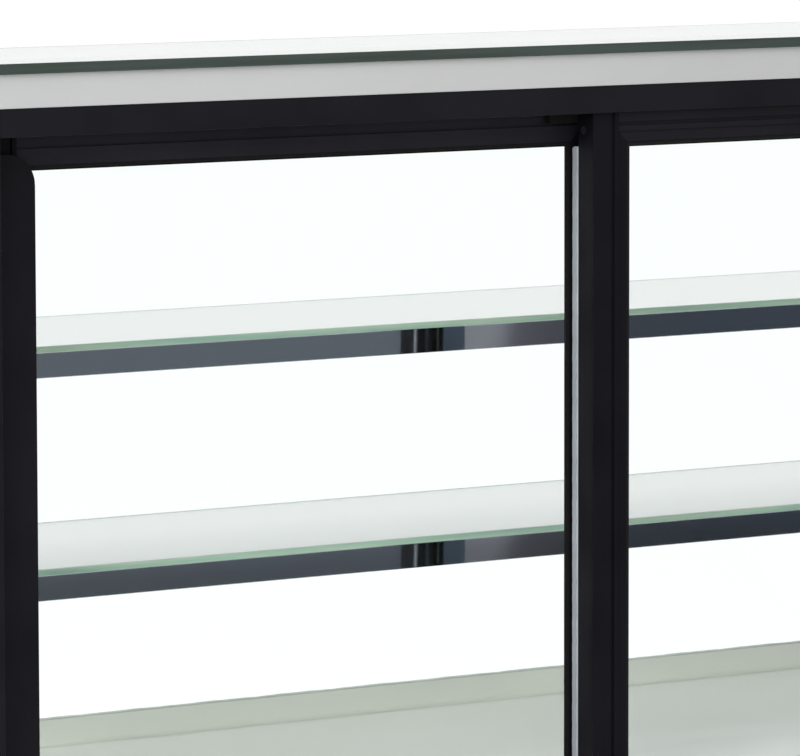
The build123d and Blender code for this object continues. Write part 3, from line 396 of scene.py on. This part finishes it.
def dress_nodes():
    """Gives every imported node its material, and some of its faces another."""
    for entry in frame["record"]["subparts"]:
        name = NODE_MATERIAL.get(entry["node"], entry["material_slot"])
        node = nodes[entry["node"]]
        node.data.materials.clear()
        node.data.materials.append(MATERIALS[name])
    hood_low, hood_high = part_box("curved_glass_hood")
    paint_faces(
        "curved_glass_hood",
        "hood_edge",
        lambda place, normal: abs(normal.x) > FLAT_END
        or place.y > hood_high.y - MM
        or place.z < hood_low.z + MM,
    )
    slope_end = BEND_Y - (HOOD_RADIUS - HOOD_GLASS) * math.cos(HOOD_SLOPE)
    paint_faces(
        "curved_glass_hood",
        "front_glass",
        lambda place, normal: place.y < slope_end + MM
        and abs(normal.x) < FACING
        and place.z > hood_low.z + MM,
    )
    paint_faces("end_glasses", "hood_edge", lambda place, normal: abs(normal.x) < FACING)
    shelf_low, shelf_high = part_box("shelf_glasses")
    middle = (shelf_low.z + shelf_high.z) / 2
    # The lower shelf gets the glass with the painted shade
    paint_faces("shelf_glasses", "lower_shelf_glass_painted_shade", lambda place, normal: place.z < middle)
    paint_faces("shelf_glasses", "shelf_edge", lambda place, normal: abs(normal.z) < FACING)
    deck_low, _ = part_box("deck_plate")
    # The upstand's face towards the service side gets the painted light
    paint_faces(
        "deck_plate",
        "upstand_painted_light",
        lambda place, normal: normal.y > FACING and place.y < deck_low.y + UPSTAND_REACH,
    )
    # Each door's stiles get painted light on their faces into the cabinet, and its panes the green
    # of cut glass on their edges
    for side in ("left", "right"):
        paint_faces(
            f"{side}_door_stiles", "stile_back_painted_light", lambda place, normal: normal.y < -FACING
        )
        paint_faces(
            f"{side}_door_panes", "shelf_edge", lambda place, normal: abs(normal.y) < FACING
        )


# Corners closer than this are joined, and edges that turn less than this aren't rounded
WELD_REACH = 0.01 * MM
LEAST_TURN = math.radians(30)

# Rounding of the edges of what is drawn, pressed or folded
SOFT_EDGES = {
    "left_door_stiles": 0.9 * MM,
    "left_door_rails": 0.9 * MM,
    "right_door_stiles": 0.9 * MM,
    "right_door_rails": 0.9 * MM,
    "left_door_handle": 0.8 * MM,
    "right_door_handle": 0.8 * MM,
    "header_track": 0.6 * MM,
    "sill_track": 0.6 * MM,
    "rear_posts": 0.9 * MM,
    "rear_top_strip": 0.7 * MM,
    "shelf_bars": 0.6 * MM,
    "shelf_uprights": 0.6 * MM,
    "shelf_brackets": 0.6 * MM,
    "control_panel": 0.6 * MM,
    "drip_tray": 0.5 * MM,
    "front_panel": 0.5 * MM,
    "end_panels": 0.5 * MM,
    "kick_plate": 0.5 * MM,
    "front_glass_channel": 0.6 * MM,
    "side_glass_channels": 0.6 * MM,
}


def soften_edges():
    """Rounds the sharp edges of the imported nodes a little, so that they catch light."""
    for name, width in SOFT_EDGES.items():
        weld = nodes[name].modifiers.new("weld", "WELD")
        weld.merge_threshold = WELD_REACH
        bevel = nodes[name].modifiers.new("edges", "BEVEL")
        bevel.width = width
        bevel.segments = 2
        bevel.limit_method = "ANGLE"
        bevel.angle_limit = LEAST_TURN
        shade = nodes[name].modifiers.new("shade", "WEIGHTED_NORMAL")
        shade.keep_sharp = False


def stage_plane(name, corners):
    """A four-cornered stage piece, still without a material."""
    mesh = bpy.data.meshes.new(name)
    built = bmesh.new()
    built.faces.new([built.verts.new(corner) for corner in corners])
    built.to_mesh(mesh)
    built.free()
    plane = bpy.data.objects.new(name, mesh)
    bpy.context.scene.collection.objects.link(plane)
    return plane


# The floor: how far it reaches, its glow for rays that see it, and the glow's share there
FLOOR_REACH = 120
FLOOR_GLOW = 1.12
FLOOR_GLOW_SHARE = 0.82


def make_floor():
    """A pale floor that looks white and keeps the cabinet's shadow."""
    corners = ((-1, -1), (1, -1), (1, 1), (-1, 1))
    floor = stage_plane("floor", [(x * FLOOR_REACH, y * FLOOR_REACH, 0) for x, y in corners])
    made = Maker("floor", (0.9, 0.905, 0.905, 1), roughness=0.9)
    glow = made.add("Emission")
    made.set(glow, "Color", (1, 1, 1, 1))
    made.set(glow, "Strength", FLOOR_GLOW)
    seen = made.any_ray(("Is Camera Ray", "Is Transmission Ray", "Is Glossy Ray"))
    share = made.add("Math", operation="MULTIPLY")
    made.join(seen, share.inputs[0])
    share.inputs[1].default_value = FLOOR_GLOW_SHARE
    made.blend(share.outputs[0], made.shader, glow)
    floor.data.materials.append(made.material)


# The dim room: its place, half width and height in metres, and its levels along X as the
# polished bars mirror them, each a place and a colour. It is dimmer near the floor.
ROOM_Y = 3.4
ROOM_HALF_WIDTH = 12
ROOM_HEIGHT = 1.1
ROOM_DIM_SPAN = (0.2, 0.42)
ROOM_DIM_SHARE = 0.6
ROOM_LEVELS = (
    (-2.79, srgb(70, 76, 86)),
    (-2.34, srgb(70, 75, 84)),
    (-2.31, srgb(86, 87, 93)),
    (-2.21, srgb(90, 91, 97)),
    (-2.19, srgb(158, 158, 163)),
    (-2.1, srgb(150, 152, 158)),
    (-2.05, srgb(90, 98, 110)),
    (-2.0, srgb(110, 116, 124)),
    (-1.2, srgb(112, 118, 124)),
)


def make_dark_room():
    """A dim room before the service side, seen only in what the cabinet mirrors."""
    corners = ((-1, 0), (1, 0), (1, 1), (-1, 1))
    room = stage_plane(
        "dark_room", [(x * ROOM_HALF_WIDTH, ROOM_Y, z * ROOM_HEIGHT) for x, z in corners]
    )
    made = Maker("dark_room", (0, 0, 0, 1), roughness=1)
    parts = made.add("SeparateXYZ")
    made.join(made.place(), parts.inputs[0])
    first, last = ROOM_LEVELS[0][0], ROOM_LEVELS[-1][0]
    ramp = made.add("ValToRGB")
    made.join(made.ranged(parts.outputs["X"], 0, 1, first, last), ramp.inputs["Fac"])
    stops = ramp.color_ramp.elements
    for place, _ in ROOM_LEVELS[1:-1]:
        stops.new((place - first) / (last - first))
    for stop, (_, colour) in zip(stops, ROOM_LEVELS):
        stop.color = colour
    glow = made.add("Emission")
    made.join(ramp.outputs["Color"], glow.inputs["Color"])
    dimming = made.ranged(parts.outputs["Z"], ROOM_DIM_SHARE, 1, *ROOM_DIM_SPAN)
    made.join(dimming, glow.inputs["Strength"])
    # The glossy depth is 0 for what the camera sees itself, and 1 or more in a mirror
    path = made.add("LightPath")
    mirrored = made.add("Math", operation="GREATER_THAN")
    made.join(path.outputs["Glossy Depth"], mirrored.inputs[0])
    mirrored.inputs[1].default_value = 0.5
    made.blend(mirrored.outputs[0], made.add("BsdfTransparent"), glow)
    room.data.materials.append(made.material)
    room.visible_diffuse = False
    room.visible_shadow = False


# The world's strength, and the part of it that lights dull surfaces
WORLD_STRENGTH = 1.0
WORLD_ON_DULL = 0.62

# Lamps: name, place, what it points at, size in metres, power in watts
LAMPS = (
    ("lamp_above", (0.6, 0.9, 3.4), (0, 0, 0.8), 2.6, 95),
    ("lamp_left", (4.0, 3.0, 2.6), (0, 0.2, 0.9), 2.0, 110),
)


def make_light():
    """A white world and two soft lamps at a plain level."""
    world = bpy.data.worlds.new("world")
    bpy.context.scene.world = world
    world.use_nodes = True
    tree = world.node_tree
    tree.nodes.clear()
    output = tree.nodes.new("ShaderNodeOutputWorld")
    background = tree.nodes.new("ShaderNodeBackground")
    path = tree.nodes.new("ShaderNodeLightPath")
    level = tree.nodes.new("ShaderNodeMapRange")
    background.inputs["Color"].default_value = (0.99, 1, 1, 1)
    tree.links.new(path.outputs["Is Diffuse Ray"], level.inputs["Value"])
    level.inputs["To Min"].default_value = WORLD_STRENGTH
    level.inputs["To Max"].default_value = WORLD_ON_DULL
    tree.links.new(level.outputs["Result"], background.inputs["Strength"])
    tree.links.new(background.outputs[0], output.inputs["Surface"])

    for name, place, aim, size, power in LAMPS:
        data = bpy.data.lights.new(name, "AREA")
        data.size = size
        data.energy = power
        lamp = bpy.data.objects.new(name, data)
        lamp.location = place
        ahead = Vector(aim) - Vector(place)
        lamp.rotation_mode = "QUATERNION"
        lamp.rotation_quaternion = ahead.to_track_quat("-Z", "Y")
        bpy.context.scene.collection.objects.link(lamp)


def sweep(made, rings):
    """Joins rings of points, each with the same number, into a tube with closed ends."""
    rows = [[made.verts.new(point) for point in ring] for ring in rings]
    count = len(rows[0])
    for first, second in zip(rows, rows[1:]):
        for n in range(count):
            after = (n + 1) % count
            made.faces.new((first[n], first[after], second[after], second[n]))
    made.faces.new(list(reversed(rows[0])))
    made.faces.new(rows[-1])


def piece(name, tubes, material, body="cabinet"):
    """A piece made of tubes, each a list of rings, that moves with a body."""
    made = bmesh.new()
    for rings in tubes:
        sweep(made, rings)
    bmesh.ops.recalc_face_normals(made, faces=made.faces)
    mesh = bpy.data.meshes.new(name)
    made.to_mesh(mesh)
    made.free()
    mesh.materials.append(MATERIALS[material])
    obj = bpy.data.objects.new(name, mesh)
    bpy.context.scene.collection.objects.link(obj)
    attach(obj, body)


def ridge(x, y, z, cut):
    """Rings of a bar along X between two places in Y and Z, with its top edges cut off."""
    outline = (
        (y[0], z[0]),
        (y[1], z[0]),
        (y[1], z[1] - cut),
        (y[1] - cut, z[1]),
        (y[0] + cut, z[1]),
        (y[0], z[1] - cut),
    )
    return [[(end, *point) for point in outline] for end in x]


# The edging on the far edge of the shelves
TRIM_GAP = 0.1 * MM
TRIM_DEPTH = 1.5 * MM
TRIM_HEIGHT = 3 * MM
TRIM_CUT = 0.3 * MM


def shelf_trims():
    """A slim edging along the customer side of each shelf."""
    low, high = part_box("shelf_glasses")
    middle = (low.z + high.z) / 2
    for name, above in (("upper_shelf_trim", True), ("lower_shelf_trim", False)):
        points = [v.co for v in nodes["shelf_glasses"].data.vertices if (v.co.z > middle) == above]
        back = min(point.y for point in points) - TRIM_GAP
        top = max(point.z for point in points)
        tube = ridge((low.x, high.x), (back - TRIM_DEPTH, back), (top - TRIM_HEIGHT, top), TRIM_CUT)
        piece(name, [tube], "trim_grey")


def waver(place, waves):
    """Sum of sine waves, each a height, radians a metre and a start."""
    return sum(height * math.sin(place * rate + start) for height, rate, start in waves)


BEAD_STEPS = 240
BEAD_END_GAP = 2 * MM
BEAD_LIFT = 0.05 * MM

# Height and waves in millimetres
BEAD_HEIGHT = 2.6
BEAD_WAVES = ((0.2, 61, 0), (0.12, 143, 1), (0.08, 317, 0))


def deck_bead():
    """A bead of sealant, not quite even, along the top of the deck's upstand."""
    low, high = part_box("deck_plate")
    top = [v.co for v in nodes["deck_plate"].data.vertices if v.co.z > high.z - 0.5 * MM]
    near = max(point.y for point in top)
    far = min(point.y for point in top)
    base = high.z + BEAD_LIFT
    rings = []
    for n in range(BEAD_STEPS + 1):
        x = low.x + BEAD_END_GAP + (high.x - low.x - 2 * BEAD_END_GAP) * n / BEAD_STEPS
        height = (BEAD_HEIGHT + waver(x, BEAD_WAVES)) * MM
        rings.append(
            [
                (x, far, base),
                (x, near, base),
                (x, near + 0.3 * MM, base + 0.5 * height),
                (x, (near + far) / 2 + 0.6 * MM, base + height),
                (x, far, base + 0.7 * height),
            ]
        )
    # The bead's pale grey is partly its own and partly painted light
    piece("deck_sealant_bead", [rings], "bead_grey_painted_light")


FIN_STEPS = 300
FIN_END_GAP = 1 * MM
FIN_LIFT = 0.05 * MM

# Tip, root and waves in millimetres
FIN_TIP = 1.1
FIN_ROOT = 2.6
FIN_WAVES = ((0.45, 210, 0), (0.3, 517, 2))


def seal_fin():
    """The wavy brush fin that stands out of the pile seal."""
    low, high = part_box("right_door_pile_seal")
    out = high.x + FIN_LIFT
    rings = []
    for n in range(FIN_STEPS + 1):
        z = low.z + FIN_END_GAP + (high.z - low.z - 2 * FIN_END_GAP) * n / FIN_STEPS
        wave = waver(z, FIN_WAVES)
        tip = low.y - (FIN_TIP + 0.3 * wave) * MM
        root = high.y - (FIN_ROOT + wave) * MM
        rings.append(
            [
                (out, root, z),
                (out + 0.5 * MM, root, z),
                (out + 0.7 * MM, tip, z),
                (out, tip - 0.2 * MM, z),
            ]
        )
    piece("seal_brush_fin", [rings], "fin_white", "right_door")


# The silicone: steps round the hood's bend, both faces' depth below the hood's, and gaps
BEND_STEPS = 24
JOINT_INSETS = (HOOD_GLASS + 0.15 * MM, HOOD_GLASS + 0.85 * MM)
JOINT_WIDTH = 7.2 * MM
JOINT_SIDE_GAP = 0.4 * MM
JOINT_REAR_GAP = 2 * MM
JOINT_FOOT_RISE = 6 * MM


def hood_line(inset, rear_y, foot):
    """Points of the hood's line in Y and Z, that far in from its outer face."""
    radius = HOOD_RADIUS - inset
    centre_z = HOOD_TOP - HOOD_RADIUS
    points = []
    for n in range(BEND_STEPS + 1):
        turn = math.pi / 2 + (math.pi / 2 - HOOD_SLOPE) * n / BEND_STEPS
        points.append((BEND_Y + radius * math.cos(turn), centre_z + radius * math.sin(turn)))
    end_y, end_z = points[-1]
    foot_y = end_y - (end_z - foot) * math.tan(HOOD_SLOPE)
    return [(rear_y, points[0][1])] + points + [(foot_y, foot)]


def silicone_joints():
    """Silicone between the hood and the glass ends, along their whole edge."""
    low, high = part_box("end_glasses")
    rear_y = high.y - JOINT_REAR_GAP
    foot = low.z + JOINT_FOOT_RISE
    outer, inner = (hood_line(inset, rear_y, foot) for inset in JOINT_INSETS)
    for name, start in (
        ("left_silicone_joint", high.x - JOINT_SIDE_GAP - JOINT_WIDTH),
        ("right_silicone_joint", low.x + JOINT_SIDE_GAP),
    ):
        end = start + JOINT_WIDTH
        tube = [
            [(start, *far), (end, *far), (end, *near), (start, *near)]
            for far, near in zip(outer, inner)
        ]
        piece(name, [tube], "silicone")


# On the control panel, seen from the service side, right is towards -X
RIGHT = Vector((-1, 0, 0))
UP = Vector((0, 0, 1))
LENS_FROM_END = 16 * MM
LENS_SIZE = (58 * MM, 26 * MM)
LENS_THICK = 0.4 * MM
LENS_LIFT = 0.05 * MM
DIGIT_BAR = 7 * MM
DIGIT_STROKE = 1.3 * MM
DIGIT_THICK = 0.15 * MM
DIGIT_LIFT = 0.5 * MM
DIGIT_START = 7 * MM
DIGIT_PITCH = 11 * MM

# The seven bars of a digit, in bar lengths to the right and up, and whether each lies flat
BARS = (
    (0, 2, True),
    (0, 1, False),
    (1, 1, False),
    (0, 1, True),
    (0, 0, False),
    (1, 0, False),
    (0, 0, True),
)
LIT_BARS = {"3": (0, 2, 3, 5, 6), "0": (0, 1, 2, 4, 5, 6)}


def flat_bar(corner, length, width, thick):
    """Rings of a thin bar on the control panel, from its lower left corner."""
    start = Vector(corner)
    outline = [
        start,
        start + RIGHT * length,
        start + RIGHT * length + UP * width,
        start + UP * width,
    ]
    return [outline, [point + Vector((0, thick, 0)) for point in outline]]


def control_details():
    """The display's lens and its digits."""
    low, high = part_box("control_panel")
    middle = (low.z + high.z) / 2
    lens_x = high.x - LENS_FROM_END
    corner = (lens_x, high.y + LENS_LIFT, middle - LENS_SIZE[1] / 2)
    piece("display_lens", [flat_bar(corner, *LENS_SIZE, LENS_THICK)], "handle_black")
    tubes = []
    for number, digit in enumerate("30"):
        digit_x = lens_x - LENS_SIZE[0] / 2 + DIGIT_START - DIGIT_PITCH * number
        for lit_bar in LIT_BARS[digit]:
            right, up, flat = BARS[lit_bar]
            corner = (
                digit_x - right * DIGIT_BAR,
                high.y + DIGIT_LIFT,
                middle + (up - 1) * DIGIT_BAR,
            )
            size = (DIGIT_BAR, DIGIT_STROKE) if flat else (DIGIT_STROKE, DIGIT_BAR)
            tubes.append(flat_bar(corner, *size, DIGIT_THICK))
    piece("display_digits", tubes, "display_red")


# Rear panel screws: their insets, and the head's rings as radius and height in millimetres
SCREW_INSET_X = 14 * MM
SCREW_INSET_Z = 16 * MM
SCREW_SIDES = 24
SCREW_HEAD = ((4.2, 0.05), (4.2, 0.7), (3.4, 1.4), (1.6, 1.7))


def rear_screws():
    """Pan-head screws that hold the rear panel."""
    low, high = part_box("rear_panel")
    places = [
        (x, z)
        for x in (low.x + SCREW_INSET_X, 0, high.x - SCREW_INSET_X)
        for z in (low.z + SCREW_INSET_Z, high.z - SCREW_INSET_Z)
    ]
    turns = [math.tau * n / SCREW_SIDES for n in range(SCREW_SIDES)]
    for number, (x, z) in enumerate(places):
        rings = [
            [
                (
                    x + radius * MM * math.cos(turn),
                    high.y + height * MM,
                    z + radius * MM * math.sin(turn),
                )
                for turn in turns
            ]
            for radius, height in SCREW_HEAD
        ]
        piece(f"rear_panel_screw_{number + 1}", [rings], "polished_steel")


bpy.context.scene.view_settings.view_transform = "Standard"
make_camera()
make_floor()
make_dark_room()
make_light()
dress_nodes()
soften_edges()
shelf_trims()
deck_bead()
seal_fin()
silicone_joints()
control_details()
rear_screws()
